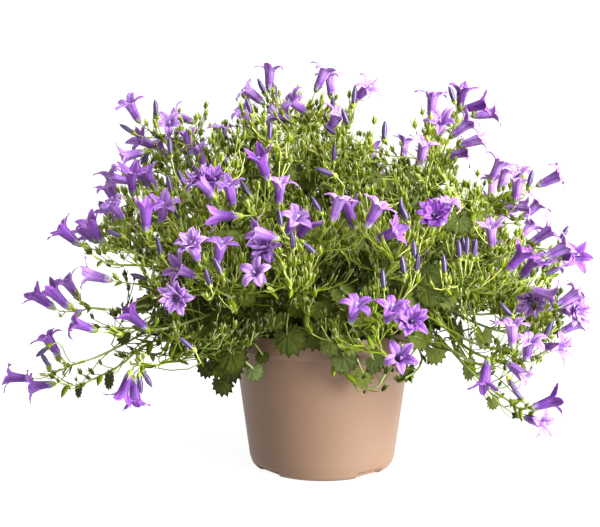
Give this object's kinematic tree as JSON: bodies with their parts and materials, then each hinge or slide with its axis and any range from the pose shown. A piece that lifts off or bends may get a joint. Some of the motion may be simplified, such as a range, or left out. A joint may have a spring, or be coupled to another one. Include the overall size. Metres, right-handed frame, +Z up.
{
  "type": "potted campanula",
  "caption": "Trailing bellflower in full bloom, a wide dome of violet bells and small green leaves over a plain round nursery pot that stands on its flat base.",
  "frame": {"origin": "centre of the pot's flat underside, on the surface that it stands on", "axes": "+Z up along the pot's axis; the front of the plant faces -Y; +X along the plant's widest reach"},
  "size_m": [0.3862, 0.3133, 0.2687],
  "materials": {
    "pot": "satin, plain tan plastic",
    "soil": "rough, moist potting soil",
    "foliage": "soft satin, living green stems, leaves and buds",
    "blooms": "soft satin, violet petals on green pedicels"
  },
  "bodies": {
    "root": {"pot": "pot", "soil": "soil", "crown_1": "foliage", "crown_2": "foliage", "crown_3": "foliage", "crown_4": "foliage", "crown_5": "foliage", "crown_6": "foliage", "crown_7": "foliage", "crown_8": "foliage", "spray_01": "blooms", "spray_02": "blooms", "spray_03": "blooms", "spray_04": "blooms", "spray_05": "blooms", "spray_06": "blooms", "spray_07": "blooms", "spray_08": "blooms", "spray_09": "blooms", "spray_10": "blooms", "spray_11": "blooms", "spray_12": "blooms", "spray_13": "blooms", "spray_14": "blooms", "spray_15": "blooms", "spray_16": "blooms", "spray_17": "blooms", "spray_18": "blooms", "spray_19": "blooms", "spray_20": "blooms", "spray_21": "blooms", "spray_22": "blooms", "spray_23": "blooms", "spray_24": "blooms", "spray_25": "blooms", "spray_26": "blooms", "spray_27": "blooms", "spray_28": "blooms", "spray_29": "blooms", "spray_30": "blooms", "spray_31": "blooms", "spray_32": "blooms", "spray_33": "blooms", "spray_34": "blooms", "spray_35": "blooms", "spray_36": "blooms", "spray_37": "blooms", "spray_38": "blooms", "spray_39": "blooms", "spray_40": "blooms", "spray_41": "blooms", "spray_42": "blooms", "spray_43": "blooms", "spray_44": "blooms", "spray_45": "blooms", "spray_46": "blooms", "spray_47": "blooms", "spray_48": "blooms", "spray_49": "blooms", "spray_50": "blooms"}
  },
  "joints": []
}
